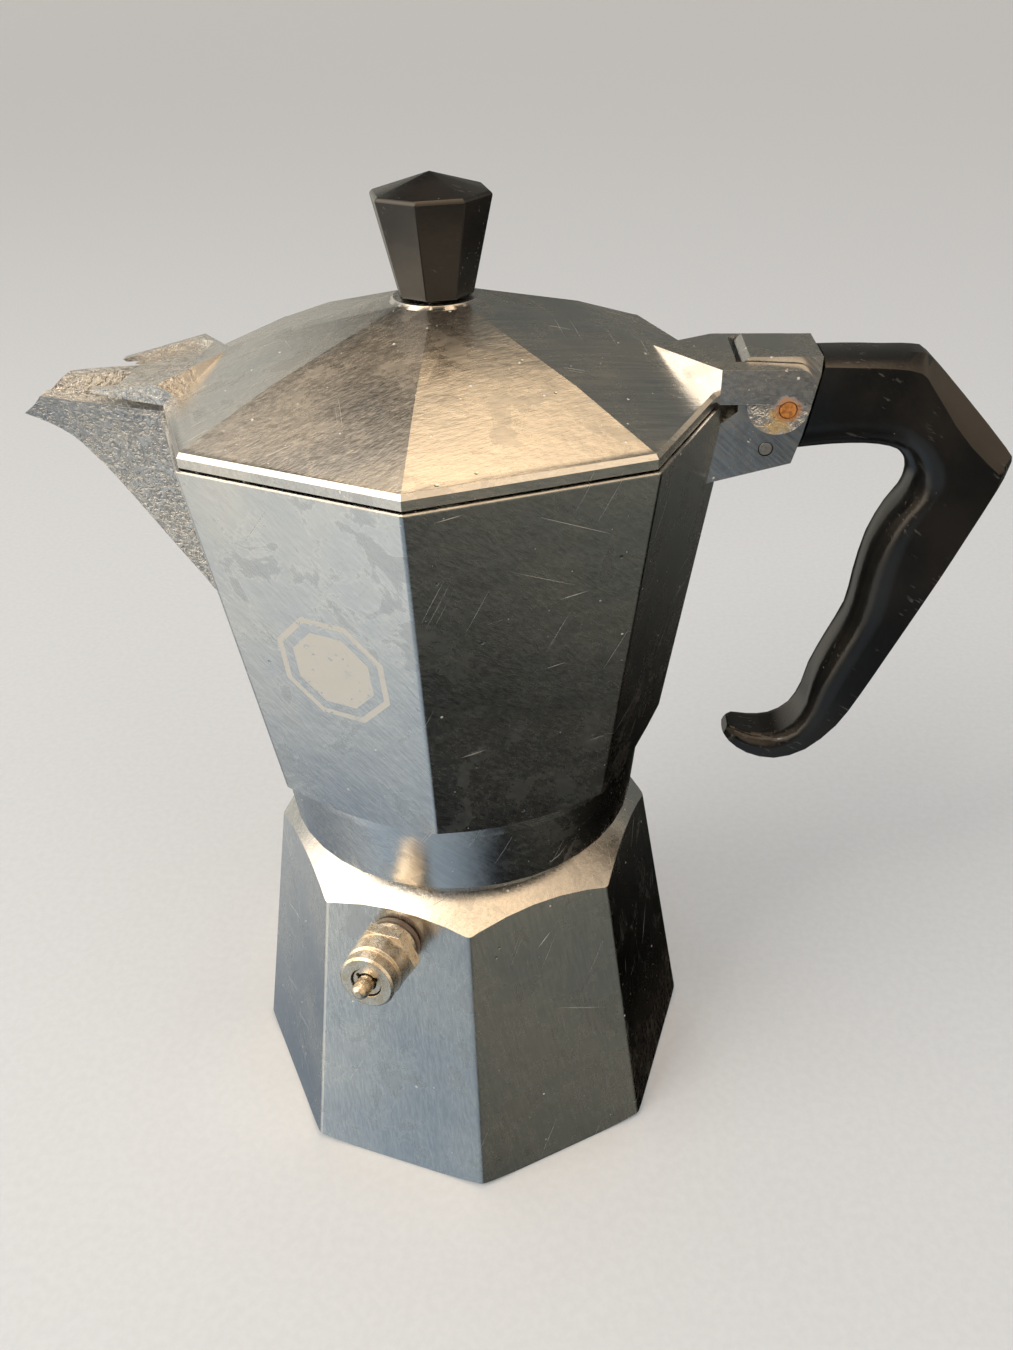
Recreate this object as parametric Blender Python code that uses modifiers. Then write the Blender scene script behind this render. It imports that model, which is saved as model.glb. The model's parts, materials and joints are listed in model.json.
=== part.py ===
"""Eight-sided stovetop moka pot, modelled as the separate pieces it is assembled from.

Frame: metres, +Z up. The origin is the centre of the boiler's flat underside, the spout
points along -X and the handle along +X. All driving dimensions are in millimetres below
and are turned into metres by MM where they are used.
"""

import math

import bmesh
import bpy
from mathutils import Matrix, Vector

MM = 0.001
SIDES = 8
FACE_ANGLE = math.pi / SIDES
ROUND_STEPS = 40
SMALL_ROUND_STEPS = 24
TOUCH_GAP = 0.3
PIN_CLEARANCE = 0.15

# Boiler: octagonal below a turned shoulder and neck.
BOILER_TURN_DEG = 6.55
BOILER_BASE_R = 54.0
BOILER_SHOULDER_R = 42.0
BOILER_SHOULDER_Z = 69.2
BOILER_NECK_R = 34.2
BOILER_NECK_FOOT_Z = 73.8
BOILER_NECK_TOP_Z = 88.0
BOILER_MOUTH_R = 31.8
SHOULDER_SLOPE_DEG = 34.0
BOILER_WALL = 2.6
BOILER_FLOOR = 3.2
FOOT_TURN_DEG = 17.0

# Screw thread between boiler and collector.
THREAD_PITCH = 3.0
THREAD_TURNS = 2.5
THREAD_RIDGE = 0.9
BOILER_THREAD_R = 34.3
BOILER_THREAD_Z = 77.0
COLLECTOR_THREAD_R = 36.3
COLLECTOR_THREAD_Z = 80.0

# Safety valve, on the facet whose outward normal points VALVE_FACET_DEG round from +X.
VALVE_FACET_DEG = BOILER_TURN_DEG + 247.5
VALVE_Z = 63.7
VALVE_SHANK_R = 4.4
VALVE_INNER_END = -6.0
VALVE_COLLAR_R = 5.2
VALVE_COLLAR_START = 1.6
VALVE_HEX_R = 7.2
VALVE_HEX_START = 4.1
VALVE_HEX_END = 6.9
VALVE_BARREL_R = 6.1
VALVE_BARREL_END = 14.6
VALVE_BORE_R = 3.3
VALVE_SEAT = -4.6
VALVE_PORT_R = 1.4
VALVE_PIN_R = 1.75
VALVE_PIN_END = 18.3
VALVE_TRAVEL = 2.0

# Funnel that hangs in the boiler's mouth.
FUNNEL_FLANGE_R = 34.7
FUNNEL_FLANGE = 1.3
FUNNEL_BASKET_R = 31.2
FUNNEL_WALL = 0.9
FUNNEL_SHELF_Z = 61.0
FUNNEL_CONE_RISE = 13.0
FUNNEL_STEM_R = 5.4
FUNNEL_STEM_FOOT_Z = 8.0
DISC_THICKNESS = 0.8

# Collector: octagonal cup that widens upwards, on a turned threaded skirt.
SKIRT_FOOT_Z = 78.1
SKIRT_FOOT_R = 37.9
SKIRT_TOP_Z = 95.2
SKIRT_TOP_R = 39.6
COLLECTOR_FOOT_Z = 93.0
COLLECTOR_RIM_Z = 168.0
COLLECTOR_RIM_R = 54.0
COLLECTOR_FLARE = 10.2 / 70.0
COLLECTOR_WALL = 2.4
CUP_FLOOR_Z = 100.5
SEAL_LEDGE_Z = 94.8
SKIRT_CONE_DEG = 35.0

# Seal pack below the collector.
GASKET_R = 35.9
GASKET_BORE_R = 28.4
GASKET_FOOT_Z = 89.9
GASKET_TOP_Z = 94.4
PLATE_R = 31.4
PLATE_Z = 93.8

# Column that carries the coffee up through the collector's floor.
COLUMN_FOOT_R = 6.2
COLUMN_TOP_R = 5.0
COLUMN_TOP_Z = 151.0
COLUMN_WALL = 1.3

# Spout: a V-shaped gutter on the collector's -X corner.
SPOUT_WALL = 2.0

# Hinge between collector and lid, and the knuckle that holds the handle.
HINGE_X = 61.5
HINGE_Z = 167.6
HINGE_PIN_R = 1.45
KNUCKLE_HALF = 6.7
KNUCKLE_TOP_Z = 175.8
EAR_INNER = 7.1
EAR_OUTER = 10.5
BLOCK_TOP_Z = 174.7
BLOCK_FOOT_Z = 168.6
BLOCK_FRONT_X = 49.6
BLOCK_REAR_X = 65.3
LOBE_X = 59.9
LOBE_R = 5.5
LID_SLOT_R = 11.95
POCKET_HALF = 3.4
TONGUE_HALF = 3.0
HANDLE_PIN_X = 59.0
HANDLE_PIN_Z = 159.0
HANDLE_PIN_R = 1.2

# Lid and knob.
LID_RIM_R = 53.2
LID_FOOT_Z = 168.3
LID_BOSS_Z = 184.9
LID_WALL = 1.6
BEAK_SLOPE = 0.19
KNOB_TURN_DEG = -7.0
KNOB_FOOT_Z = 185.2
KNOB_FOOT_R = 6.9
KNOB_TOP_R = 10.7
KNOB_TOP_Z = 201.7
KNOB_APEX_Z = 204.9
SCREW_R = 2.0

# Handle: half of its width across Y, just inside the ears of the lid.
HANDLE_HALF = 7.0

# Colours are linear RGB.
CAST_ALUMINIUM = ("cast_aluminium", (0.50, 0.50, 0.51), 0.30, 1.0)
SPUN_ALUMINIUM = ("spun_aluminium", (0.62, 0.62, 0.63), 0.35, 1.0)
NICKEL_BRASS = ("nickel_brass", (0.55, 0.47, 0.34), 0.30, 1.0)
PLATED_STEEL = ("plated_steel", (0.45, 0.45, 0.46), 0.30, 1.0)
RUSTY_STEEL = ("rusty_steel", (0.35, 0.12, 0.04), 0.80, 0.4)
BLACK_BAKELITE = ("black_bakelite", (0.012, 0.010, 0.009), 0.22, 0.0)
RUBBER = ("seal_rubber", (0.62, 0.60, 0.55), 0.60, 0.0)
FIBRE = ("fibre", (0.30, 0.08, 0.05), 0.80, 0.0)


# ---------------------------------------------------------------- scene and objects

def clear_scene():
    for item in list(bpy.data.objects):
        bpy.data.objects.remove(item, do_unlink=True)


def new_collection(name):
    collection = bpy.data.collections.new(name)
    bpy.context.scene.collection.children.link(collection)
    return collection


def add_material(item, look):
    name, colour, roughness, metallic = look
    material = bpy.data.materials.get(name) or bpy.data.materials.new(name)
    material.use_nodes = True
    shader = material.node_tree.nodes["Principled BSDF"]
    shader.inputs["Base Color"].default_value = (*colour, 1.0)
    shader.inputs["Roughness"].default_value = roughness
    shader.inputs["Metallic"].default_value = metallic
    item.data.materials.append(material)


def add_object(name, data, look=None):
    """Links data as a named piece, or as a hidden cutter when it has no look."""
    item = bpy.data.objects.new(name, data)
    if look is None:
        CUTTERS.objects.link(item)
        item.hide_render = True
        item.display_type = "WIRE"
    else:
        PARTS.objects.link(item)
        add_material(item, look)
    return item


def add_bmesh(name, shape, look=None):
    mesh = bpy.data.meshes.new(name)
    shape.to_mesh(mesh)
    shape.free()
    return add_object(name, mesh, look)


def add_axis(name, x, y, z, turn=None):
    """An empty on a joint's axis, for the pieces that move about or along it."""
    empty = bpy.data.objects.new(name, None)
    PARTS.objects.link(empty)
    empty.matrix_world = Matrix.Translation(Vector((x, y, z)) * MM) @ (turn or Matrix())
    return empty


def hold(parent, *pieces):
    """Parents pieces, and leaves them where they are."""
    for piece in pieces:
        piece.parent = parent
        piece.matrix_parent_inverse = parent.matrix_world.inverted()


def place_along(parent, *pieces):
    """Parents pieces that are modelled in the parent's own frame."""
    for piece in pieces:
        piece.parent = parent


# ---------------------------------------------------------------- shapes

def turned(name, profile, look=None, steps=ROUND_STEPS, closed=False, turn_deg=0.0):
    """Turns a profile of (radius, z) points, in mm, once round the Z axis.

    The profile runs down its outer side. An open one starts and ends on the axis.
    """
    mesh = bpy.data.meshes.new(name)
    points = [(radius * MM, 0.0, z * MM) for radius, z in profile]
    edges = [(i, i + 1) for i in range(len(points) - 1)]
    if closed:
        edges.append((len(points) - 1, 0))
    mesh.from_pydata(points, edges, [])
    item = add_object(name, mesh, look)
    item.rotation_euler = (0.0, 0.0, math.radians(turn_deg))
    screw = item.modifiers.new("turn", "SCREW")
    screw.axis = "Z"
    screw.angle = 2.0 * math.pi
    screw.steps = steps
    screw.render_steps = steps
    screw.use_merge_vertices = True
    screw.merge_threshold = 0.00001
    screw.use_smooth_shade = steps > SIDES
    return item


def box(name, low, high, look=None):
    shape = bmesh.new()
    bmesh.ops.create_cube(shape, size=1.0)
    low = Vector(low) * MM
    high = Vector(high) * MM
    size = high - low
    bmesh.ops.scale(shape, vec=size, verts=shape.verts)
    bmesh.ops.translate(shape, vec=(low + high) / 2.0, verts=shape.verts)
    return add_bmesh(name, shape, look)


def rod(name, radius, start, end, look=None, steps=SMALL_ROUND_STEPS):
    """A cylinder between two points, in mm."""
    start = Vector(start) * MM
    end = Vector(end) * MM
    shape = bmesh.new()
    bmesh.ops.create_cone(
        shape, cap_ends=True, segments=steps, radius1=radius * MM, radius2=radius * MM,
        depth=(end - start).length)
    tilt = (end - start).to_track_quat("Z", "Y").to_matrix().to_4x4()
    bmesh.ops.transform(shape, matrix=Matrix.Translation((start + end) / 2.0) @ tilt, verts=shape.verts)
    item = add_bmesh(name, shape, look)
    for face in item.data.polygons:
        face.use_smooth = len(face.vertices) == 4
    return item


def octagon_cone(name, foot_r, foot_z, top_r, top_z, look=None, turn_deg=0.0):
    """An eight-sided frustum with corners at foot_r and top_r."""
    shape = bmesh.new()
    bmesh.ops.create_cone(
        shape, cap_ends=True, segments=SIDES, radius1=foot_r * MM, radius2=top_r * MM,
        depth=(top_z - foot_z) * MM)
    matrix = Matrix.Rotation(math.radians(turn_deg), 4, "Z")
    matrix = matrix @ Matrix.Translation((0.0, 0.0, (foot_z + top_z) / 2.0 * MM))
    bmesh.ops.transform(shape, matrix=matrix, verts=shape.verts)
    return add_bmesh(name, shape, look)


def hull(name, points, look=None):
    """The convex solid round some corner points, in mm."""
    shape = bmesh.new()
    for point in points:
        shape.verts.new(Vector(point) * MM)
    bmesh.ops.convex_hull(shape, input=shape.verts)
    return add_bmesh(name, shape, look)


def slab(name, outline, low_y, high_y, look=None):
    """A flat (x, z) outline, in mm, made thick between two Y values."""
    curve = bpy.data.curves.new(name, "CURVE")
    curve.dimensions = "2D"
    curve.fill_mode = "BOTH"
    curve.extrude = (high_y - low_y) / 2.0 * MM
    spline = curve.splines.new("POLY")
    spline.points.add(len(outline) - 1)
    for point, (x, z) in zip(spline.points, outline):
        point.co = (x * MM, z * MM, 0.0, 1.0)
    spline.use_cyclic_u = True
    item = add_object(name, curve, look)
    item.rotation_euler = (math.pi / 2.0, 0.0, 0.0)
    item.location = (0.0, (low_y + high_y) / 2.0 * MM, 0.0)
    return as_mesh(item, look)


def helix(name, radius, pitch, turns, start_z, thickness, look=None, steps=24, resolution=0):
    """A round or diamond wire wound round the Z axis; all lengths in mm."""
    curve = bpy.data.curves.new(name, "CURVE")
    curve.dimensions = "3D"
    curve.bevel_depth = thickness * MM
    curve.bevel_resolution = resolution
    curve.use_fill_caps = True
    spline = curve.splines.new("POLY")
    count = int(turns * steps) + 1
    spline.points.add(count - 1)
    for index, point in enumerate(spline.points):
        angle = 2.0 * math.pi * index / steps
        z = start_z + pitch * index / steps
        point.co = (radius * math.cos(angle) * MM, radius * math.sin(angle) * MM, z * MM, 1.0)
    item = add_object(name, curve, look)
    return as_mesh(item, look)


def as_mesh(item, look):
    """Replaces a curve object with the closed mesh that it evaluates to."""
    bpy.context.view_layer.update()
    evaluated = item.evaluated_get(bpy.context.evaluated_depsgraph_get())
    mesh = bpy.data.meshes.new_from_object(evaluated)
    shape = bmesh.new()
    shape.from_mesh(mesh)
    bmesh.ops.remove_doubles(shape, verts=shape.verts, dist=0.00001)
    bmesh.ops.recalc_face_normals(shape, faces=shape.faces)
    name = item.name
    matrix = item.matrix_world.copy()
    bpy.data.objects.remove(item, do_unlink=True)
    mesh.materials.clear()
    shape.to_mesh(mesh)
    shape.free()
    solid = add_object(name, mesh, look)
    solid.matrix_world = matrix
    return solid


def loft(name, sections, look=None):
    """Skins closed sections that have equal numbers of points; ends are capped."""
    shape = bmesh.new()
    rings = [[shape.verts.new(Vector(point) * MM) for point in section] for section in sections]
    for ring, following in zip(rings, rings[1:]):
        for i in range(len(ring)):
            j = (i + 1) % len(ring)
            shape.faces.new((ring[i], ring[j], following[j], following[i]))
    shape.faces.new(reversed(rings[0]))
    shape.faces.new(rings[-1])
    bmesh.ops.recalc_face_normals(shape, faces=shape.faces)
    return add_bmesh(name, shape, look)


def boolean(target, other, operation):
    modifier = target.modifiers.new(operation.lower(), "BOOLEAN")
    modifier.operation = operation
    modifier.object = other
    modifier.solver = "EXACT"
    other.hide_render = True
    other.display_type = "WIRE"


def cut(target, *cutters):
    for cutter in cutters:
        boolean(target, cutter, "DIFFERENCE")


def join(target, *others):
    for other in others:
        boolean(target, other, "UNION")


def keep_inside(target, envelope):
    boolean(target, envelope, "INTERSECT")


def round_edges(item, width, segments=2, angle_deg=30.0):
    bevel = item.modifiers.new("rounding", "BEVEL")
    bevel.width = width * MM
    bevel.segments = segments
    bevel.limit_method = "ANGLE"
    bevel.angle_limit = math.radians(angle_deg)


def arc(centre_x, centre_z, radius, start_deg, end_deg, count):
    """Points of an arc in an (x, z) outline, both ends included."""
    points = []
    for index in range(count):
        angle = math.radians(start_deg + (end_deg - start_deg) * index / (count - 1))
        points.append((centre_x + radius * math.cos(angle), centre_z + radius * math.sin(angle)))
    return points


def smooth_path(points, count):
    """Points of a Catmull-Rom curve through tuples of any length."""
    padded = [points[0]] + list(points) + [points[-1]]
    path = []
    for a, b, c, d in zip(padded, padded[1:], padded[2:], padded[3:]):
        for step in range(count):
            t = step / count
            path.append(tuple(
                0.5 * (2 * q + (r - p) * t + (2 * p - 5 * q + 4 * r - s) * t ** 2
                       + (3 * q - p - 3 * r + s) * t ** 3)
                for p, q, r, s in zip(a, b, c, d)))
    path.append(tuple(points[-1]))
    return path


def hole_pattern(name, radius, spacing, rings, low_z, high_z):
    """One cutter of many pins in circles, for a perforated plate."""
    shape = bmesh.new()
    centres = [(0.0, 0.0)]
    for ring in range(1, rings + 1):
        for index in range(6 * ring):
            angle = 2.0 * math.pi * index / (6 * ring)
            centres.append((ring * spacing * math.cos(angle), ring * spacing * math.sin(angle)))
    for x, y in centres:
        place = Matrix.Translation(Vector((x, y, (low_z + high_z) / 2.0)) * MM)
        bmesh.ops.create_cone(
            shape, cap_ends=True, segments=6, radius1=radius * MM, radius2=radius * MM,
            depth=(high_z - low_z) * MM, matrix=place)
    return add_bmesh(name, shape)


# ---------------------------------------------------------------- boiler and valve

def boiler_corner_r(z):
    """Corner radius of the boiler's octagon at a height."""
    return BOILER_BASE_R + (BOILER_SHOULDER_R - BOILER_BASE_R) * z / BOILER_SHOULDER_Z


def boiler_facet_tilt():
    """Angle by which the boiler's facets lean in, from upright."""
    return math.atan((BOILER_BASE_R - BOILER_SHOULDER_R) * math.cos(FACE_ANGLE) / BOILER_SHOULDER_Z)


def make_boiler():
    top = BOILER_NECK_TOP_Z + 1.0
    boiler = octagon_cone(
        "boiler", BOILER_BASE_R, 0.0, boiler_corner_r(top), top, CAST_ALUMINIUM, BOILER_TURN_DEG)
    round_edges(boiler, 0.7)
    reach = BOILER_BASE_R + 6.0
    drop = (reach - BOILER_NECK_R) * math.tan(math.radians(SHOULDER_SLOPE_DEG))
    foot_r = BOILER_BASE_R * math.cos(FACE_ANGLE) + 0.3
    foot_slope = math.tan(math.radians(FOOT_TURN_DEG))
    keep_inside(boiler, turned("boiler_envelope", [
        (0.0, BOILER_NECK_TOP_Z),
        (BOILER_NECK_R - 0.5, BOILER_NECK_TOP_Z),
        (BOILER_NECK_R, BOILER_NECK_TOP_Z - 0.5),
        (BOILER_NECK_R, BOILER_NECK_FOOT_Z),
        (reach, BOILER_NECK_FOOT_Z - drop),
        (reach, (reach - foot_r) * foot_slope),
        (foot_r - 2.0 / foot_slope, -2.0),
        (0.0, -2.0)]))
    join(boiler, helix(
        "boiler_thread", BOILER_THREAD_R, THREAD_PITCH, THREAD_TURNS, BOILER_THREAD_Z,
        THREAD_RIDGE, steps=ROUND_STEPS))
    inner_foot = BOILER_BASE_R * math.cos(FACE_ANGLE) - BOILER_WALL - 0.6
    inner_shoulder = BOILER_SHOULDER_R * math.cos(FACE_ANGLE) - BOILER_WALL
    cut(boiler, turned("boiler_cavity", [
        (0.0, BOILER_NECK_TOP_Z + 2.0),
        (BOILER_MOUTH_R, BOILER_NECK_TOP_Z + 2.0),
        (BOILER_MOUTH_R, BOILER_NECK_FOOT_Z - 1.0),
        (inner_shoulder, BOILER_SHOULDER_Z - 2.0),
        (inner_foot, BOILER_FLOOR + 4.0),
        (inner_foot - 4.0, BOILER_FLOOR),
        (0.0, BOILER_FLOOR)]))
    hole = rod(
        "valve_hole", VALVE_SHANK_R + TOUCH_GAP, (0.0, 0.0, -12.0), (0.0, 0.0, 6.0))
    place_along(VALVE_AXIS, hole)
    cut(boiler, hole)
    return boiler


def valve_frame():
    """Position and turn of the valve's axis: local +Z points out of its facet."""
    facing = math.radians(VALVE_FACET_DEG)
    radius = boiler_corner_r(VALVE_Z) * math.cos(FACE_ANGLE)
    turn = Matrix.Rotation(facing, 4, "Z") @ Matrix.Rotation(math.pi / 2.0 - boiler_facet_tilt(), 4, "Y")
    return radius * math.cos(facing), radius * math.sin(facing), turn


def make_valve():
    body = turned("valve_body", [
        (VALVE_PORT_R + 0.7, VALVE_BARREL_END),
        (VALVE_BARREL_R - 0.7, VALVE_BARREL_END),
        (VALVE_BARREL_R - 0.2, VALVE_BARREL_END - 0.4),
        (VALVE_BARREL_R - 0.2, VALVE_BARREL_END - 2.4),
        (VALVE_BARREL_R - 0.6, VALVE_BARREL_END - 2.7),
        (VALVE_BARREL_R - 0.6, VALVE_BARREL_END - 3.3),
        (VALVE_BARREL_R, VALVE_BARREL_END - 3.6),
        (VALVE_BARREL_R, VALVE_HEX_END - 0.8),
        (VALVE_COLLAR_R, VALVE_HEX_END - 1.4),
        (VALVE_COLLAR_R, VALVE_COLLAR_START),
        (VALVE_SHANK_R, VALVE_COLLAR_START),
        (VALVE_SHANK_R, VALVE_INNER_END),
        (VALVE_PORT_R, VALVE_INNER_END),
        (VALVE_PORT_R, VALVE_SEAT),
        (VALVE_PORT_R + 0.7, VALVE_SEAT)],
        NICKEL_BRASS, steps=SMALL_ROUND_STEPS, closed=True)
    hexagon = rod(
        "valve_hexagon", VALVE_HEX_R, (0.0, 0.0, VALVE_HEX_START), (0.0, 0.0, VALVE_HEX_END), steps=6)
    join(body, hexagon)
    bore_end = VALVE_BARREL_END + 1.0
    bore = rod("valve_bore", VALVE_BORE_R, (0.0, 0.0, VALVE_SEAT), (0.0, 0.0, bore_end))
    cut(body, bore)

    washer = turned("valve_washer", [
        (VALVE_COLLAR_R + 0.4, VALVE_COLLAR_START - TOUCH_GAP),
        (VALVE_COLLAR_R + 0.4, TOUCH_GAP),
        (VALVE_SHANK_R + TOUCH_GAP, TOUCH_GAP),
        (VALVE_SHANK_R + TOUCH_GAP, VALVE_COLLAR_START - TOUCH_GAP)],
        FIBRE, steps=SMALL_ROUND_STEPS, closed=True)

    cap_start = VALVE_BARREL_END - 2.6
    cap = turned("valve_cap", [
        (VALVE_BORE_R - TOUCH_GAP, VALVE_BARREL_END - 0.5),
        (VALVE_BORE_R - TOUCH_GAP, cap_start),
        (VALVE_PIN_R + TOUCH_GAP, cap_start),
        (VALVE_PIN_R + TOUCH_GAP, VALVE_BARREL_END - 0.5)],
        NICKEL_BRASS, steps=SMALL_ROUND_STEPS, closed=True)
    for index in range(3):
        angle = 2.0 * math.pi * index / 3
        x = (VALVE_PIN_R + 0.4) * math.cos(angle)
        y = (VALVE_PIN_R + 0.4) * math.sin(angle)
        vent = rod(f"valve_vent_{index}", 0.5, (x, y, cap_start - 1.0), (x, y, bore_end), steps=12)
        place_along(VALVE_AXIS, vent)
        cut(cap, vent)

    head_back = VALVE_SEAT + 1.4
    pin = turned("valve_pin", [
        (0.0, VALVE_PIN_END),
        (VALVE_PIN_R - 1.0, VALVE_PIN_END),
        (VALVE_PIN_R - 0.25, VALVE_PIN_END - 0.5),
        (VALVE_PIN_R, VALVE_PIN_END - 1.3),
        (VALVE_PIN_R, head_back + 1.2),
        (VALVE_BORE_R - 0.4, head_back + 1.2),
        (VALVE_BORE_R - 0.4, head_back),
        (0.0, head_back)],
        NICKEL_BRASS, steps=SMALL_ROUND_STEPS)
    seal = turned("valve_seal", [
        (VALVE_BORE_R - 0.5, head_back - 0.2),
        (VALVE_BORE_R - 0.5, VALVE_SEAT + 0.2),
        (VALVE_PORT_R - 0.5, VALVE_SEAT + 0.2),
        (VALVE_PORT_R - 0.5, head_back - 0.2)],
        RUBBER, steps=SMALL_ROUND_STEPS, closed=True)
    wire = 0.35
    coil_start = head_back + 1.2 + wire + 0.1
    coil_end = cap_start - wire - 0.1
    coil_turns = 6.0
    spring = helix(
        "valve_spring", (VALVE_BORE_R + VALVE_PIN_R) / 2.0, (coil_end - coil_start) / coil_turns,
        coil_turns, coil_start, wire, PLATED_STEEL, steps=10)
    place_along(VALVE_AXIS, body, hexagon, bore, washer, cap, spring)
    place_along(VALVE_PIN_AXIS, pin, seal)


# ---------------------------------------------------------------- funnel and seals

def make_funnel():
    flange_foot = BOILER_NECK_TOP_Z + TOUCH_GAP
    flange_top = flange_foot + FUNNEL_FLANGE
    inner = FUNNEL_BASKET_R - FUNNEL_WALL
    neck_z = FUNNEL_SHELF_Z - FUNNEL_CONE_RISE
    stem_in = FUNNEL_STEM_R - FUNNEL_WALL
    turned("funnel_body", [
        (FUNNEL_FLANGE_R, flange_top),
        (FUNNEL_FLANGE_R, flange_foot),
        (FUNNEL_BASKET_R, flange_foot),
        (FUNNEL_BASKET_R, FUNNEL_SHELF_Z),
        (FUNNEL_BASKET_R - 2.0, FUNNEL_SHELF_Z - 1.8),
        (FUNNEL_STEM_R + 1.6, neck_z),
        (FUNNEL_STEM_R, neck_z - 2.5),
        (FUNNEL_STEM_R - 0.5, FUNNEL_STEM_FOOT_Z),
        (stem_in - 0.5, FUNNEL_STEM_FOOT_Z),
        (stem_in, neck_z - 2.0),
        (FUNNEL_STEM_R + 1.0, neck_z + 1.2),
        (inner - 2.6, FUNNEL_SHELF_Z),
        (inner, FUNNEL_SHELF_Z),
        (inner, flange_top - 0.6),
        (inner + 0.6, flange_top)],
        SPUN_ALUMINIUM, closed=True)
    disc_foot = FUNNEL_SHELF_Z + 0.2
    disc_top = disc_foot + DISC_THICKNESS
    disc = turned("funnel_disc", [
        (0.0, disc_top), (inner - TOUCH_GAP, disc_top), (inner - TOUCH_GAP, disc_foot), (0.0, disc_foot)],
        SPUN_ALUMINIUM)
    cut(disc, hole_pattern("funnel_holes", 1.1, 7.6, 3, disc_foot - 1.0, disc_top + 1.0))


def make_seal_pack():
    turned("gasket", [
        (GASKET_R, GASKET_TOP_Z),
        (GASKET_R, GASKET_FOOT_Z),
        (GASKET_BORE_R, GASKET_FOOT_Z),
        (GASKET_BORE_R, PLATE_Z - TOUCH_GAP),
        (PLATE_R + TOUCH_GAP, PLATE_Z - TOUCH_GAP),
        (PLATE_R + TOUCH_GAP, GASKET_TOP_Z)],
        RUBBER, closed=True)
    thick = 0.6
    rise = 0.9
    raised = PLATE_R - 4.8
    plate = turned("filter_plate", [
        (0.0, PLATE_Z + thick - rise),
        (raised - 0.8, PLATE_Z + thick - rise),
        (raised + 0.4, PLATE_Z + thick),
        (PLATE_R, PLATE_Z + thick),
        (PLATE_R, PLATE_Z),
        (raised + 0.8, PLATE_Z),
        (raised - 0.4, PLATE_Z - rise),
        (0.0, PLATE_Z - rise)],
        SPUN_ALUMINIUM)
    cut(plate, hole_pattern("filter_holes", 1.0, 7.2, 3, PLATE_Z - 2.0, PLATE_Z + 2.0))


# ---------------------------------------------------------------- collector

def collector_corner_r(z):
    """Corner radius of the collector's octagon at a height."""
    return COLLECTOR_RIM_R - COLLECTOR_FLARE * (COLLECTOR_RIM_Z - z)


def spout_sections(inset, lift):
    """V-shaped sections of the spout, from inside the cup out to the lip.

    Each has a keel at y = 0 and two rims. inset moves the walls in and lift raises the
    rims, so that the same path gives the outer solid and the gutter that is cut from it.
    """
    stations = [
        # keel x, keel z, rim x, rim y, rim z
        (-40.0, 108.0, -40.0, 13.4, 168.0),
        (-47.0, 122.0, -48.5, 12.4, 168.2),
        (-56.5, 137.5, -54.0, 11.7, 168.6),
        (-64.2, 150.0, -59.5, 10.8, 168.9),
        (-68.0, 155.2, -63.5, 9.9, 169.0),
        (-71.0, 158.7, -67.0, 8.9, 169.1),
        (-74.8, 161.2, -70.0, 8.0, 169.1),
        (-79.4, 163.2, -72.6, 7.1, 169.1)]
    sections = []
    for keel_x, keel_z, rim_x, rim_y, rim_z in smooth_path(stations, 2):
        slant = Vector((rim_x - keel_x, rim_y, rim_z - keel_z)).normalized()
        along = Vector((slant.z, 0.0, -slant.x)).normalized()
        in_keel = Vector((keel_x, 0.0, keel_z)) + along * inset * 1.2
        in_rim = Vector((rim_x, rim_y - inset, rim_z)) + Vector((0.0, 0.0, lift))
        middle = in_keel.lerp(in_rim, 0.5) - Vector((0.0, 0.35, 0.0))
        low = in_keel + Vector((0.0, 1.3 - inset * 0.2, 0.5))
        half = [in_keel, low, middle, in_rim]
        mirrored = [Vector((p.x, -p.y, p.z)) for p in reversed(half[1:])]
        sections.append([tuple(p) for p in half + mirrored])
    return sections


def knuckle_outline():
    return [
        (46.0, 152.2),
        (48.6, 152.2),
        (63.8, 156.3),
        (65.2, 161.6),
        (67.1, 172.6),
        (67.1, KNUCKLE_TOP_Z),
        (54.6, KNUCKLE_TOP_Z),
        (53.4, KNUCKLE_TOP_Z - 1.2),
        (53.4, 166.0),
        (46.0, 160.0)]


def handle_pocket_outline(gap):
    """The knuckle's pocket, or with a gap the handle's tongue inside it."""
    return [
        (57.0 + gap, 156.9 + gap),
        (72.0, 158.9 + gap),
        (72.0, 172.0 - gap),
        (57.0 + gap, 172.0 - gap)]


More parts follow.
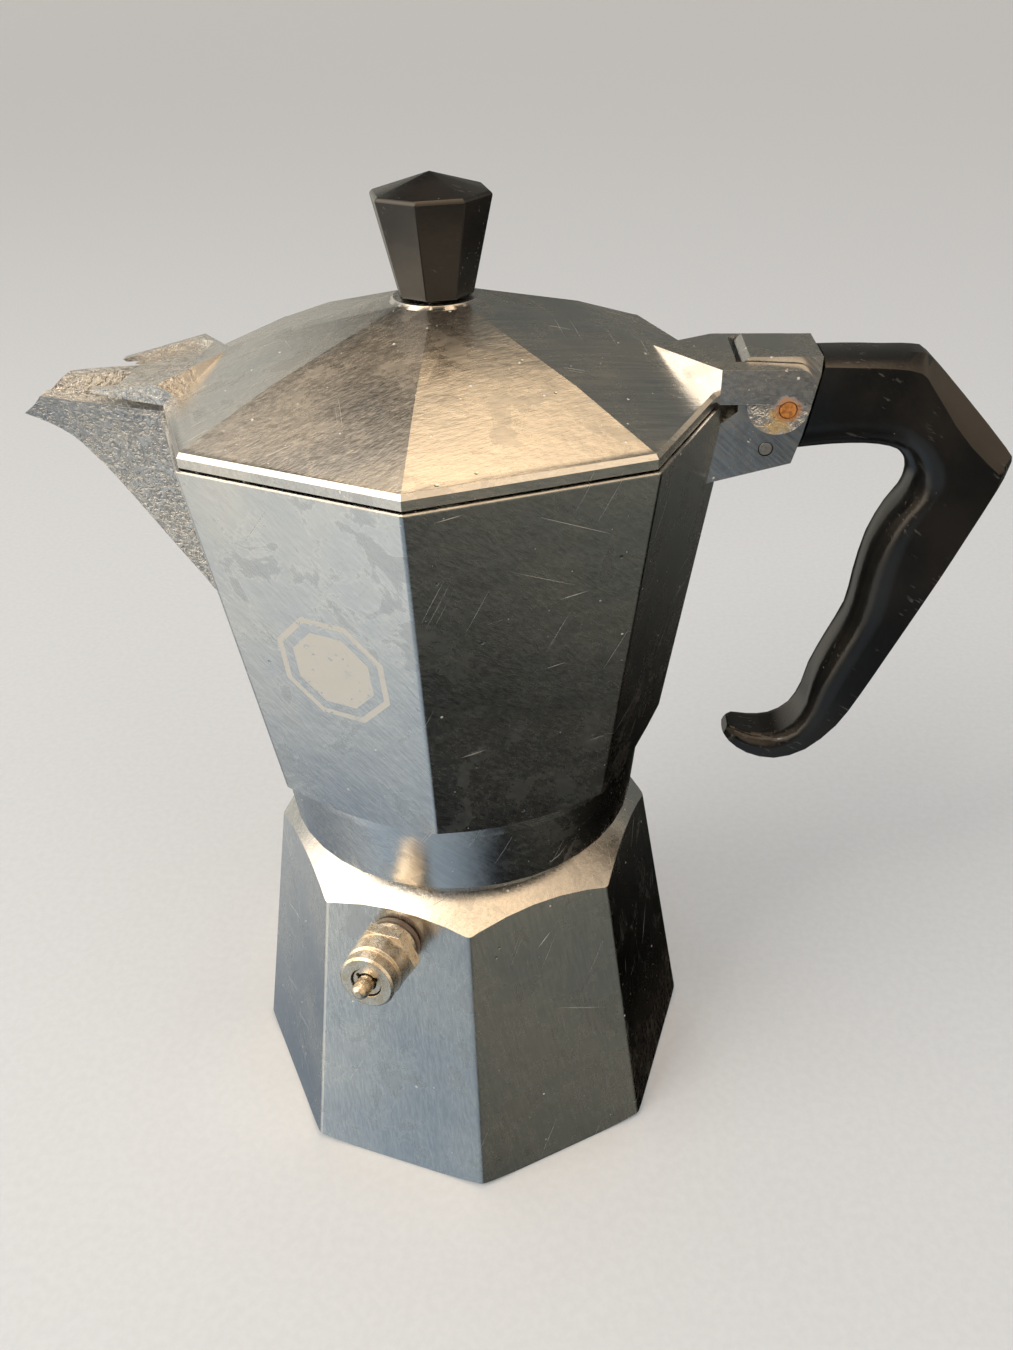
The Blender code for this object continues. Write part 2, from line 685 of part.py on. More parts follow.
def make_collector():
    collector = octagon_cone(
        "collector", collector_corner_r(COLLECTOR_FOOT_Z), COLLECTOR_FOOT_Z,
        COLLECTOR_RIM_R, COLLECTOR_RIM_Z, CAST_ALUMINIUM)
    round_edges(collector, 0.5)
    cone_reach = COLLECTOR_RIM_R + 4.0
    cone_rise = (cone_reach - SKIRT_TOP_R) * math.tan(math.radians(SKIRT_CONE_DEG))
    keep_inside(collector, turned("collector_envelope", [
        (0.0, COLLECTOR_RIM_Z + 3.0),
        (cone_reach, COLLECTOR_RIM_Z + 3.0),
        (cone_reach, SKIRT_TOP_Z + cone_rise),
        (SKIRT_TOP_R, SKIRT_TOP_Z),
        (SKIRT_TOP_R - 0.2, COLLECTOR_FOOT_Z - 1.0),
        (0.0, COLLECTOR_FOOT_Z - 1.0)]))
    join(collector, turned("collector_skirt", [
        (0.0, SKIRT_TOP_Z - 0.6),
        (SKIRT_TOP_R - 0.1, SKIRT_TOP_Z - 0.6),
        (SKIRT_FOOT_R + 0.1, SKIRT_FOOT_Z + 0.4),
        (SKIRT_FOOT_R - 0.3, SKIRT_FOOT_Z),
        (0.0, SKIRT_FOOT_Z)]))
    join(collector, loft("spout_outside", spout_sections(0.0, 0.0)))
    join(collector, slab("knuckle", knuckle_outline(), -KNUCKLE_HALF, KNUCKLE_HALF))

    foot_r = collector_corner_r(CUP_FLOOR_Z) - COLLECTOR_WALL
    open_z = COLLECTOR_RIM_Z + 4.0
    cup = octagon_cone(
        "cup_space", foot_r, CUP_FLOOR_Z, foot_r + COLLECTOR_FLARE * (open_z - CUP_FLOOR_Z), open_z)
    cut(collector, cup)
    cut(collector, loft("spout_gutter", spout_gutter_sections()))
    cut(collector, turned("skirt_bore", [
        (0.0, SEAL_LEDGE_Z),
        (COLLECTOR_THREAD_R, SEAL_LEDGE_Z),
        (COLLECTOR_THREAD_R, SKIRT_FOOT_Z - 2.0),
        (0.0, SKIRT_FOOT_Z - 2.0)]))
    cut(collector, turned("dome_recess", [
        (0.0, CUP_FLOOR_Z + 3.0),
        (COLUMN_FOOT_R + TOUCH_GAP, CUP_FLOOR_Z + 3.0),
        (COLUMN_FOOT_R + TOUCH_GAP, CUP_FLOOR_Z - 2.4),
        (26.0, SEAL_LEDGE_Z - 0.01),
        (26.0, SEAL_LEDGE_Z - 2.0),
        (0.0, SEAL_LEDGE_Z - 2.0)]))
    join(collector, helix(
        "collector_thread", COLLECTOR_THREAD_R, THREAD_PITCH, 2.0, COLLECTOR_THREAD_Z,
        THREAD_RIDGE * 0.8, steps=ROUND_STEPS))
    cut(collector, slab("handle_pocket", handle_pocket_outline(0.0), -POCKET_HALF, POCKET_HALF))
    cut(collector, pin_hole("collector_hinge_hole", HINGE_PIN_R, HINGE_X, HINGE_Z))
    cut(collector, pin_hole("collector_handle_hole", HANDLE_PIN_R, HANDLE_PIN_X, HANDLE_PIN_Z))


def spout_gutter_sections():
    """The spout's sections moved in by its wall, carried on past both of its ends."""
    sections = spout_sections(SPOUT_WALL, 3.0)
    inward = [(x + 12.0, y, z + 2.0) for x, y, z in sections[0]]
    outward = [(x - 3.0, y, z + 0.8) for x, y, z in sections[-1]]
    return [inward] + sections + [outward]


def pin_hole(name, radius, x, z):
    return rod(name, radius + PIN_CLEARANCE, (x, -20.0, z), (x, 20.0, z))


def make_column():
    flange_foot = CUP_FLOOR_Z + TOUCH_GAP
    inner_foot = COLUMN_FOOT_R - COLUMN_WALL
    inner_top = COLUMN_TOP_R - COLUMN_WALL
    column = turned("column", [
        (0.0, COLUMN_TOP_Z),
        (COLUMN_TOP_R - 1.6, COLUMN_TOP_Z - 0.4),
        (COLUMN_TOP_R, COLUMN_TOP_Z - 2.2),
        (COLUMN_FOOT_R, flange_foot + 3.0),
        (COLUMN_FOOT_R + 2.4, flange_foot + 1.0),
        (COLUMN_FOOT_R + 2.4, flange_foot),
        (COLUMN_FOOT_R, flange_foot),
        (COLUMN_FOOT_R, CUP_FLOOR_Z - 2.0),
        (inner_foot, CUP_FLOOR_Z - 2.0),
        (inner_top, COLUMN_TOP_Z - 3.2),
        (0.0, COLUMN_TOP_Z - 1.8)],
        CAST_ALUMINIUM, steps=SMALL_ROUND_STEPS)
    outlet_z = COLUMN_TOP_Z - 6.5
    cut(column, rod("column_outlets", 2.2, (0.0, -12.0, outlet_z), (0.0, 12.0, outlet_z), steps=16))


# ---------------------------------------------------------------- lid and knob

def beak_top_z(x):
    """Height of the beak's sloping top over the spout."""
    return 175.6 - BEAK_SLOPE * (-38.0 - x)


def make_beak():
    root_x = -47.5
    tip_x = -62.0
    root_half = 14.9
    tip_half = 9.8
    points = [(-38.0, 0.0, beak_top_z(-38.0)), (-40.0, 0.0, 171.5)]
    for side in (-1.0, 1.0):
        points.append((root_x, side * root_half, beak_top_z(root_x)))
        points.append((tip_x, side * tip_half, beak_top_z(tip_x)))
        points.append((tip_x + 0.6, side * tip_half, 170.5))
        points.append((root_x, side * (root_half - 0.4), 170.0))
        points.append((root_x + 5.0, side * (root_half - 0.4), 170.0))
    return hull("lid_beak", points)


def beak_trough():
    """The shallow trough in the beak's top, which opens between two rails at its tip."""
    depth = 1.1
    rail = 2.2
    points = []
    for x, half in ((-43.5, 9.6), (-48.5, 14.6), (-68.0, 7.8)):
        floor = beak_top_z(x) - depth
        for side in (-1.0, 1.0):
            points.append((x, side * (half - rail), floor))
            points.append((x, side * (half - rail + 0.4), floor + 6.0))
    return hull("lid_trough", points)


def make_hinge_block():
    """The wedge that rises out of the lid and runs back as the block of its hinge."""
    corner = arc(BLOCK_REAR_X - 2.4, BLOCK_TOP_Z - 2.4, 2.4, 0.0, 90.0, 6)
    side_view = corner + [
        (BLOCK_FRONT_X, BLOCK_TOP_Z), (BLOCK_FRONT_X, BLOCK_FOOT_Z), (BLOCK_REAR_X, BLOCK_FOOT_Z)]
    points = [(38.4, 0.0, BLOCK_TOP_Z + 1.1), (41.0, 0.0, 170.5)]
    for side in (-EAR_OUTER, EAR_OUTER):
        points += [(x, side, z) for x, z in side_view]
        points.append((BLOCK_FRONT_X - 1.3, side * 0.94, BLOCK_FOOT_Z + 1.0))
    return hull("lid_hinge_block", points)


def make_lid():
    inner_foot = LID_RIM_R - 2.2
    lid = turned("lid", [
        (0.0, LID_BOSS_Z - 0.3),
        (8.5, LID_BOSS_Z - 0.5),
        (35.0, 177.0),
        (51.3, 171.1),
        (52.6, 170.7),
        (LID_RIM_R, 169.9),
        (LID_RIM_R, LID_FOOT_Z),
        (inner_foot, LID_FOOT_Z),
        (inner_foot - 0.4, 169.5),
        (34.6, 177.0 - LID_WALL),
        (8.5, LID_BOSS_Z - 0.5 - LID_WALL),
        (0.0, LID_BOSS_Z - 0.3 - LID_WALL)],
        CAST_ALUMINIUM, steps=SIDES)
    join(lid, turned("lid_boss", [
        (0.0, LID_BOSS_Z),
        (7.6, LID_BOSS_Z),
        (8.3, LID_BOSS_Z - 0.6),
        (8.6, LID_BOSS_Z - 2.0),
        (0.0, LID_BOSS_Z - 2.0)]))
    join(lid, make_beak(), make_hinge_block())
    lobe_half = EAR_OUTER - 0.3
    lobe_outline = arc(LOBE_X, BLOCK_FOOT_Z, LOBE_R, 7.0, 353.0, 32)
    join(lid, slab("lid_ear_lobes", lobe_outline, -lobe_half, lobe_half))
    cut(lid, beak_trough())
    cut(lid, box("lid_beak_notch", (-66.0, -6.8, 160.0), (-58.2, 6.8, 180.0)))
    cut(lid, rod(
        "lid_slot", LID_SLOT_R, (HINGE_X, -EAR_INNER, HINGE_Z), (HINGE_X, EAR_INNER, HINGE_Z), steps=64))
    cut(lid, pin_hole("lid_hinge_hole", HINGE_PIN_R, HINGE_X, HINGE_Z))
    screw_r = SCREW_R + PIN_CLEARANCE
    cut(lid, rod("lid_screw_hole", screw_r, (0.0, 0.0, 175.0), (0.0, 0.0, 190.0)))
    return lid


def make_knob():
    knob = turned("knob", [
        (0.0, KNOB_APEX_Z),
        (KNOB_TOP_R - 0.5, KNOB_TOP_Z + 0.25),
        (KNOB_TOP_R, KNOB_TOP_Z - 0.25),
        (KNOB_FOOT_R, KNOB_FOOT_Z + 0.3),
        (KNOB_FOOT_R - 0.3, KNOB_FOOT_Z),
        (0.0, KNOB_FOOT_Z)],
        BLACK_BAKELITE, steps=SIDES, turn_deg=KNOB_TURN_DEG)
    insert_top = 197.5
    insert_r = 3.6
    cut(knob, rod(
        "knob_socket", insert_r + TOUCH_GAP, (0.0, 0.0, 180.0), (0.0, 0.0, insert_top + TOUCH_GAP)))
    insert = turned("knob_insert", [
        (insert_r, insert_top),
        (insert_r, KNOB_FOOT_Z + 0.1),
        (SCREW_R + PIN_CLEARANCE, KNOB_FOOT_Z + 0.1),
        (SCREW_R + PIN_CLEARANCE, insert_top)],
        NICKEL_BRASS, steps=SMALL_ROUND_STEPS, closed=True)
    washer_top = LID_BOSS_Z - 0.3 - LID_WALL - TOUCH_GAP
    washer_foot = washer_top - 0.8
    washer = turned("knob_washer", [
        (4.6, washer_top),
        (4.6, washer_foot),
        (SCREW_R + PIN_CLEARANCE, washer_foot),
        (SCREW_R + PIN_CLEARANCE, washer_top)],
        PLATED_STEEL, steps=SMALL_ROUND_STEPS, closed=True)
    head_top = washer_foot - 0.2
    screw = turned("knob_screw", [
        (0.0, insert_top - 1.0),
        (SCREW_R - 0.4, insert_top - 1.0),
        (SCREW_R, insert_top - 1.6),
        (SCREW_R, head_top),
        (3.9, head_top),
        (3.9, head_top - 1.0),
        (2.6, head_top - 2.2),
        (0.0, head_top - 2.4)],
        PLATED_STEEL, steps=SMALL_ROUND_STEPS)
    cut(screw, box("screw_slot", (-5.0, -0.5, head_top - 4.0), (5.0, 0.5, head_top - 1.3)))
    return knob, insert, washer, screw


# ---------------------------------------------------------------- handle and pins

def handle_section(outer_x, outer_z, inner_x, inner_z, half, crown):
    """A section across the grip: crowned on the outside, well rounded on the inside."""
    outer = Vector((outer_x, 0.0, outer_z))
    inner = Vector((inner_x, 0.0, inner_z))
    depth = (outer - inner).length
    inward = (inner - outer).normalized()
    side = Vector((0.0, 1.0, 0.0))
    round_r = min(half * 0.92, depth * 0.45)
    outline = [(half * 0.36, 0.0), (half * 0.8, crown * 0.6), (half, crown)]
    for step in range(7):
        angle = math.pi / 2.0 * step / 6
        outline.append((
            half - round_r + round_r * math.cos(angle), depth - round_r + round_r * math.sin(angle)))
    mirrored = [(-across, down) for across, down in reversed(outline)]
    return [tuple(outer + inward * down + side * across) for across, down in outline + mirrored]


def make_handle():
    stations = [
        # outer x and z, inner x and z, half width, depth of the crown
        (67.8, 175.2, 65.0, 157.3, HANDLE_HALF - 0.3, 1.3),
        (73.0, 175.3, 71.0, 158.0, HANDLE_HALF, 1.4),
        (79.5, 175.3, 77.5, 158.2, HANDLE_HALF, 1.6),
        (84.4, 175.2, 82.2, 157.6, HANDLE_HALF, 2.3),
        (86.9, 174.1, 84.6, 156.3, HANDLE_HALF, 3.7),
        (93.7, 167.4, 86.4, 153.6, HANDLE_HALF, 4.4),
        (102.9, 157.7, 86.6, 150.6, HANDLE_HALF, 4.2),
        (104.5, 155.0, 85.8, 147.5, HANDLE_HALF, 3.4),
        (103.4, 151.3, 83.8, 144.2, HANDLE_HALF, 2.5),
        (100.0, 142.2, 81.4, 138.0, HANDLE_HALF, 2.1),
        (96.8, 134.0, 80.3, 130.0, HANDLE_HALF, 1.9),
        (93.2, 125.0, 79.6, 122.0, HANDLE_HALF, 1.8),
        (89.4, 115.2, 76.9, 114.0, HANDLE_HALF, 1.8),
        (85.6, 105.4, 74.7, 107.0, HANDLE_HALF, 1.8),
        (81.6, 96.8, 73.9, 101.3, HANDLE_HALF - 0.2, 1.7),
        (75.4, 89.8, 72.0, 96.0, HANDLE_HALF - 0.5, 1.5),
        (68.6, 87.0, 68.0, 93.2, HANDLE_HALF - 0.9, 1.3),
        (62.4, 88.0, 63.4, 93.0, HANDLE_HALF - 1.6, 1.1),
        (58.6, 90.4, 60.0, 93.9, HANDLE_HALF - 2.8, 0.8),
        (57.6, 91.8, 58.4, 93.8, HANDLE_HALF - 4.6, 0.4)]
    sections = [handle_section(*station) for station in smooth_path(stations, 2)]
    handle = loft("handle", sections, BLACK_BAKELITE)
    tongue = slab("handle_tongue", handle_pocket_outline(TOUCH_GAP), -TONGUE_HALF, TONGUE_HALF)
    join(handle, tongue)
    cut(handle, pin_hole("handle_hinge_hole", HINGE_PIN_R, HINGE_X, HINGE_Z))
    cut(handle, pin_hole("handle_pin_hole", HANDLE_PIN_R, HANDLE_PIN_X, HANDLE_PIN_Z))


def make_pins():
    rod("hinge_pin", HINGE_PIN_R, (HINGE_X, -EAR_OUTER, HINGE_Z), (HINGE_X, EAR_OUTER, HINGE_Z),
        RUSTY_STEEL)
    rod("handle_pin", HANDLE_PIN_R, (HANDLE_PIN_X, -KNUCKLE_HALF, HANDLE_PIN_Z),
        (HANDLE_PIN_X, KNUCKLE_HALF, HANDLE_PIN_Z), PLATED_STEEL)


clear_scene()
PARTS = new_collection("moka_pot")
CUTTERS = new_collection("moka_pot_cutters")
valve_x, valve_y, valve_turn = valve_frame()
VALVE_AXIS = add_axis("valve_axis", valve_x, valve_y, VALVE_Z, valve_turn)
VALVE_PIN_AXIS = add_axis("valve_pin_axis", valve_x, valve_y, VALVE_Z, valve_turn)
LID_AXIS = add_axis("lid_hinge_axis", HINGE_X, 0.0, HINGE_Z)

make_boiler()
make_valve()
make_funnel()
make_seal_pack()
make_collector()
make_column()
make_handle()
make_pins()
hold(LID_AXIS, make_lid(), *make_knob())
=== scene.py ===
"""Looks for the moka pot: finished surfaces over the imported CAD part, studio and camera.

Lengths are in millimetres until they are multiplied by MM.
"""

import json
import math

import bmesh
import bpy
from mathutils import Matrix, Vector


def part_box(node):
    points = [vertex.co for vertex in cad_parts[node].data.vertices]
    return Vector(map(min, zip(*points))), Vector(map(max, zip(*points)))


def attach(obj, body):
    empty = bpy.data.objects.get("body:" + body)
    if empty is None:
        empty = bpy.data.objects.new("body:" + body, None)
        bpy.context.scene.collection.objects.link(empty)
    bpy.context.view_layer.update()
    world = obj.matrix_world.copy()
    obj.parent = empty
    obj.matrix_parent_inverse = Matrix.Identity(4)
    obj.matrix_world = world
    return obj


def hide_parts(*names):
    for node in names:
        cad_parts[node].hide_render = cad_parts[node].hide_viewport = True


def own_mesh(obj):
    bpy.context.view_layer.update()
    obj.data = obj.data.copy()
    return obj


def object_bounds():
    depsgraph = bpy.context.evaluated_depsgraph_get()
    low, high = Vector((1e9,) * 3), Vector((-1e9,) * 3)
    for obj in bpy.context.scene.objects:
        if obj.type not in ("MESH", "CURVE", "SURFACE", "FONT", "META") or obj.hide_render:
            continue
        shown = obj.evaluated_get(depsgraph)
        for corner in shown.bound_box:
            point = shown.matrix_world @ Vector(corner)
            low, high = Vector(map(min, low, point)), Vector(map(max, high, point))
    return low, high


MM = 0.001

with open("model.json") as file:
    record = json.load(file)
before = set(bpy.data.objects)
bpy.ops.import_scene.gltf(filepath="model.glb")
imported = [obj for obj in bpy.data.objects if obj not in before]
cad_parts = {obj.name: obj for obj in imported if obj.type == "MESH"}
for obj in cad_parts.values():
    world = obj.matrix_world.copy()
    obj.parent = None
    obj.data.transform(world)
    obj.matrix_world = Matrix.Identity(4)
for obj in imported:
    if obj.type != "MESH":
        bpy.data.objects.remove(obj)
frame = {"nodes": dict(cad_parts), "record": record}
cad_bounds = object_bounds()


# ---------------------------------------------------------------- shader graphs

class Graph:
    """A material's node tree, with one short method for each kind of node it uses."""

    def __init__(self, name):
        self.material = bpy.data.materials.new(name)
        self.material.use_nodes = True
        self.tree = self.material.node_tree
        self.shader = self.tree.nodes["Principled BSDF"]
        place = self.tree.nodes.new("ShaderNodeTexCoord").outputs["Object"]
        self.mm = self.vector("SCALE", place, scale=1000.0)
        self.x, self.y, self.z = self.split(self.mm)

    def put(self, socket, value):
        if isinstance(value, bpy.types.NodeSocket):
            self.tree.links.new(value, socket)
        elif isinstance(value, tuple) and len(socket.default_value) == 4 and len(value) == 3:
            socket.default_value = (*value, 1.0)
        else:
            socket.default_value = value

    def maths(self, operation, a, b=0.0, clamp=False):
        node = self.tree.nodes.new("ShaderNodeMath")
        node.operation = operation
        node.use_clamp = clamp
        self.put(node.inputs[0], a)
        self.put(node.inputs[1], b)
        return node.outputs[0]

    def vector(self, operation, a, b=None, scale=None):
        node = self.tree.nodes.new("ShaderNodeVectorMath")
        node.operation = operation
        self.put(node.inputs[0], a)
        if b is not None:
            self.put(node.inputs[1], b)
        if scale is not None:
            self.put(node.inputs["Scale"], scale)
        gives_number = operation in ("DOT_PRODUCT", "LENGTH")
        return node.outputs["Value" if gives_number else "Vector"]

    def split(self, vector):
        node = self.tree.nodes.new("ShaderNodeSeparateXYZ")
        self.put(node.inputs[0], vector)
        return node.outputs

    def turned(self, turn, stretch):
        """Object coordinates turned by Euler degrees and then stretched."""
        node = self.tree.nodes.new("ShaderNodeMapping")
        node.vector_type = "TEXTURE"
        self.put(node.inputs["Vector"], self.mm)
        self.put(node.inputs["Rotation"], tuple(math.radians(a) for a in turn))
        self.put(node.inputs["Scale"], tuple(1.0 / s for s in stretch))
        return node.outputs[0]

    def noise(self, vector, scale, detail=3.0, roughness=0.55, distortion=0.0):
        node = self.tree.nodes.new("ShaderNodeTexNoise")
        self.put(node.inputs["Vector"], vector)
        self.put(node.inputs["Scale"], scale)
        self.put(node.inputs["Detail"], detail)
        self.put(node.inputs["Roughness"], roughness)
        self.put(node.inputs["Distortion"], distortion)
        return node.outputs[0]

    def cells(self, vector, scale):
        """Distance to the nearest of many random points, and that point's own random number."""
        node = self.tree.nodes.new("ShaderNodeTexVoronoi")
        self.put(node.inputs["Vector"], vector)
        self.put(node.inputs["Scale"], scale)
        chance = self.split(node.outputs["Color"])[0]
        return node.outputs["Distance"], chance

    def ramp(self, value, low, high, start=0.0, end=1.0):
        """Smooth step of a value from low to high, given as start to end."""
        node = self.tree.nodes.new("ShaderNodeMapRange")
        node.interpolation_type = "SMOOTHSTEP"
        self.put(node.inputs["Value"], value)
        self.put(node.inputs["From Min"], low)
        self.put(node.inputs["From Max"], high)
        self.put(node.inputs["To Min"], start)
        self.put(node.inputs["To Max"], end)
        return node.outputs[0]

    def mix(self, factor, a, b):
        node = self.tree.nodes.new("ShaderNodeMix")
        node.data_type = "RGBA"
        self.put(node.inputs["Factor"], factor)
        self.put(node.inputs[6], a)
        self.put(node.inputs[7], b)
        return node.outputs[2]

    def blend(self, factor, a, b):
        """A number that goes from a to b."""
        node = self.tree.nodes.new("ShaderNodeMix")
        self.put(node.inputs["Factor"], factor)
        self.put(node.inputs[2], a)
        self.put(node.inputs[3], b)
        return node.outputs[0]

    def total(self, *values):
        result = values[0]
        for value in values[1:]:
            result = self.maths("ADD", result, value)
        return result

    def both(self, *masks):
        result = masks[0]
        for mask in masks[1:]:
            result = self.maths("MULTIPLY", result, mask)
        return result

    def bump(self, height, depth_mm, strength=1.0, normal=None):
        node = self.tree.nodes.new("ShaderNodeBump")
        self.put(node.inputs["Height"], height)
        self.put(node.inputs["Distance"], depth_mm * MM)
        self.put(node.inputs["Strength"], strength)
        if normal is not None:
            self.put(node.inputs["Normal"], normal)
        return node.outputs[0]

    def finish(self, colour, metallic, roughness, normal):
        self.put(self.shader.inputs["Base Color"], colour)
        self.put(self.shader.inputs["Metallic"], metallic)
        self.put(self.shader.inputs["Roughness"], roughness)
        self.put(self.shader.inputs["Normal"], normal)
        return self.material

    # ------------------------------------------------ marks of wear

    def specks(self, spacing, radius, share):
        """Round specks about a radius in size, on a share of points a spacing apart."""
        distance, chance = self.cells(self.mm, 1.0 / spacing)
        near = self.ramp(distance, radius / spacing, 0.45 * radius / spacing)
        return self.both(near, self.ramp(chance, 1.0 - share, 1.0 - share + 0.02))

    def scratches(self, turn, length, width, share):
        """Straight thin scratches that lie near one plane, at scattered places."""
        reach = 0.25
        place = self.turned(turn, (reach / length, reach / length, 2.0 * reach / width))
        distance, chance = self.cells(place, 1.0)
        near = self.ramp(distance, reach, 0.3 * reach)
        return self.both(near, self.ramp(chance, 1.0 - share, 1.0 - share + 0.004))


# ---------------------------------------------------------------- materials

def aged_aluminium(name, brush_turn=(0.0, 0.0, 0.0), pitting=None, extra=None):
    """Polished cast aluminium, dulled by use: brushed, speckled, stained and scratched.

    pitting is a function of the graph that gives a mask of deeply pitted metal, and extra
    one that gives (mask, colour, metallic, roughness) of a deposit or an etched mark.
    """
    g = Graph(name)
    tone = g.noise(g.mm, 0.03, 3.0)
    brush = g.noise(g.turned(brush_turn, (0.05, 1.0, 1.0)), 1.6, 4.0, 0.65)
    fine = g.noise(g.turned(brush_turn, (0.03, 1.0, 1.0)), 5.0, 2.0)
    cloud = g.noise(g.mm, 0.11, 6.0, 0.62, 0.6)
    stain = g.ramp(cloud, 0.54, 0.60)
    rim = g.both(g.ramp(cloud, 0.525, 0.545), g.ramp(cloud, 0.575, 0.55))
    deposit = g.specks(4.2, 0.30, 0.40)
    dust = g.specks(2.1, 0.14, 0.35)
    dent = g.specks(5.6, 0.42, 0.35)
    scratch = g.total(g.scratches((20, 35, 0), 9.0, 0.09, 0.010),
                      g.scratches((-15, -62, 40), 6.0, 0.08, 0.020),
                      g.scratches((70, 10, 15), 3.0, 0.09, 0.025))
    scratch = g.maths("MINIMUM", scratch, 1.0)
    grime = g.ramp(g.noise(g.mm, 0.9, 5.0, 0.7), 0.60, 0.70)

    colour = g.mix(g.ramp(tone, 0.35, 0.65), (0.58, 0.595, 0.615), (0.70, 0.69, 0.67))
    colour = g.mix(g.ramp(brush, 0.35, 0.65), g.mix(0.13, colour, (0.12, 0.12, 0.13)), colour)
    colour = g.mix(g.maths("MULTIPLY", stain, 0.25), colour, (0.40, 0.41, 0.42))
    colour = g.mix(g.maths("MULTIPLY", rim, 0.28), colour, (0.78, 0.77, 0.73))
    colour = g.mix(g.maths("MULTIPLY", grime, 0.25), colour, (0.22, 0.21, 0.19))
    light = g.maths("MAXIMUM", deposit, g.maths("MULTIPLY", dust, 0.7))
    colour = g.mix(light, colour, (0.80, 0.79, 0.76))
    colour = g.mix(g.maths("MULTIPLY", scratch, 0.6), colour, (0.86, 0.86, 0.84))

    metallic = g.blend(g.maths("MAXIMUM", g.maths("MULTIPLY", light, 0.75),
                               g.maths("MULTIPLY", scratch, 0.35)), 1.0, 0.25)
    roughness = g.total(
        g.ramp(tone, 0.3, 0.7, 0.17, 0.23),
        g.ramp(brush, 0.3, 0.7, 0.0, 0.06),
        g.maths("MULTIPLY", stain, 0.06),
        g.maths("MULTIPLY", light, 0.30),
        g.maths("MULTIPLY", scratch, 0.20))
    height = g.total(
        g.ramp(brush, 0.2, 0.8, 0.0, 0.16),
        g.ramp(fine, 0.2, 0.8, 0.0, 0.06),
        g.maths("MULTIPLY", g.noise(g.mm, 0.22, 2.0), 0.9),
        g.maths("MULTIPLY", dent, -0.7),
        g.maths("MULTIPLY", light, 0.35),
        g.maths("MULTIPLY", scratch, -0.35))
    if pitting:
        mask = pitting(g)
        craters = g.ramp(g.noise(g.mm, 0.75, 4.0, 0.62, 0.9), 0.42, 0.62)
        specks = g.ramp(g.noise(g.mm, 1.5, 3.0, 0.6, 1.2), 0.56, 0.62)
        colour = g.mix(g.both(mask, specks), colour, (0.80, 0.79, 0.76))
        colour = g.mix(g.maths("MULTIPLY", g.both(mask, craters), 0.35), colour, (0.30, 0.30, 0.30))
        roughness = g.maths("ADD", roughness, g.maths("MULTIPLY", mask, 0.10))
        height = g.total(height, g.maths("MULTIPLY", g.both(mask, craters), -3.2),
                         g.maths("MULTIPLY", g.both(mask, specks), 1.2))
    if extra:
        for mask, tint, metal, rough in extra(g):
            colour = g.mix(mask, colour, tint)
            metallic = g.blend(mask, metallic, metal)
            roughness = g.blend(mask, roughness, rough)
    return g.finish(colour, metallic, roughness=roughness,
                    normal=g.bump(height, 0.11, 0.75))


def etched_mark(g):
    """A plain frosted octagon in an octagonal ring, on the facet left of the front corner."""
    outer_half, inner_half, middle_half = 10.6, 9.35, 7.6  # ring and middle, in mm
    soft = 0.15  # width of an etched edge
    low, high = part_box("collector")
    facing = math.radians(247.5)
    across = (-math.sin(facing), math.cos(facing), 0.0)
    outward = (math.cos(facing), math.sin(facing), 0.0)
    u = g.maths("SUBTRACT", g.vector("DOT_PRODUCT", g.mm, across), 1.6)
    v = g.maths("SUBTRACT", g.z, (low.z + (high.z - low.z) * 0.565) / MM)
    au = g.maths("ABSOLUTE", u)
    av = g.maths("ABSOLUTE", v)
    reach = g.maths("MAXIMUM", g.maths("MAXIMUM", au, av),
                    g.maths("MULTIPLY", g.maths("ADD", au, av), math.sqrt(0.5)))
    ring = g.both(g.ramp(reach, outer_half, outer_half - soft),
                  g.ramp(reach, inner_half, inner_half + soft))
    shape = g.maths("MAXIMUM", ring, g.ramp(reach, middle_half, middle_half - soft))
    depth = g.vector("DOT_PRODUCT", g.mm, outward)
    wall = g.maths("ADD", 28.0, g.maths("MULTIPLY", g.z, 0.12))
    outside = g.ramp(g.maths("SUBTRACT", depth, wall), 0.0, 0.3)
    worn = g.ramp(g.noise(g.mm, 0.5, 5.0, 0.65), 0.66, 0.58)
    yield g.both(shape, outside, worn, 0.9), (0.64, 0.60, 0.53), 0.3, 0.5


def hinge_rust(g):
    """Rust that has run from the hinge pin down over the ears."""
    low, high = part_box("hinge_pin")
    pin = (low + high) / 2.0 / MM
    dx = g.maths("SUBTRACT", g.x, pin.x)
    dz = g.maths("SUBTRACT", g.z, pin.z)
    wobble = g.ramp(g.noise(g.mm, 0.6, 4.0), 0.3, 0.7, -0.9, 0.9)
    from_pin = g.maths("SQRT", g.maths("ADD", g.maths("MULTIPLY", dx, dx),
                                       g.maths("MULTIPLY", dz, dz)))
    lean = g.maths("ADD", g.maths("ADD", dx, 1.1), g.maths("MULTIPLY", dz, -0.15))
    run = g.both(g.ramp(g.maths("ADD", g.maths("ABSOLUTE", lean), wobble), 2.6, 1.2),
                 g.ramp(dz, 0.4, -0.6), g.ramp(g.maths("ADD", dz, wobble), -5.4, -3.4))
    sides = g.ramp(g.maths("ABSOLUTE", g.y), high.y / MM - 1.6, high.y / MM - 1.0)
    edge = g.maths("ADD", from_pin, g.maths("MULTIPLY", wobble, 0.4))
    near = g.both(g.ramp(edge, 2.8, 1.8), sides)
    yield g.both(run, sides, 0.75), (0.62, 0.40, 0.12), 0.45, 0.5
    yield g.both(near, 0.8), (0.50, 0.20, 0.05), 0.3, 0.6


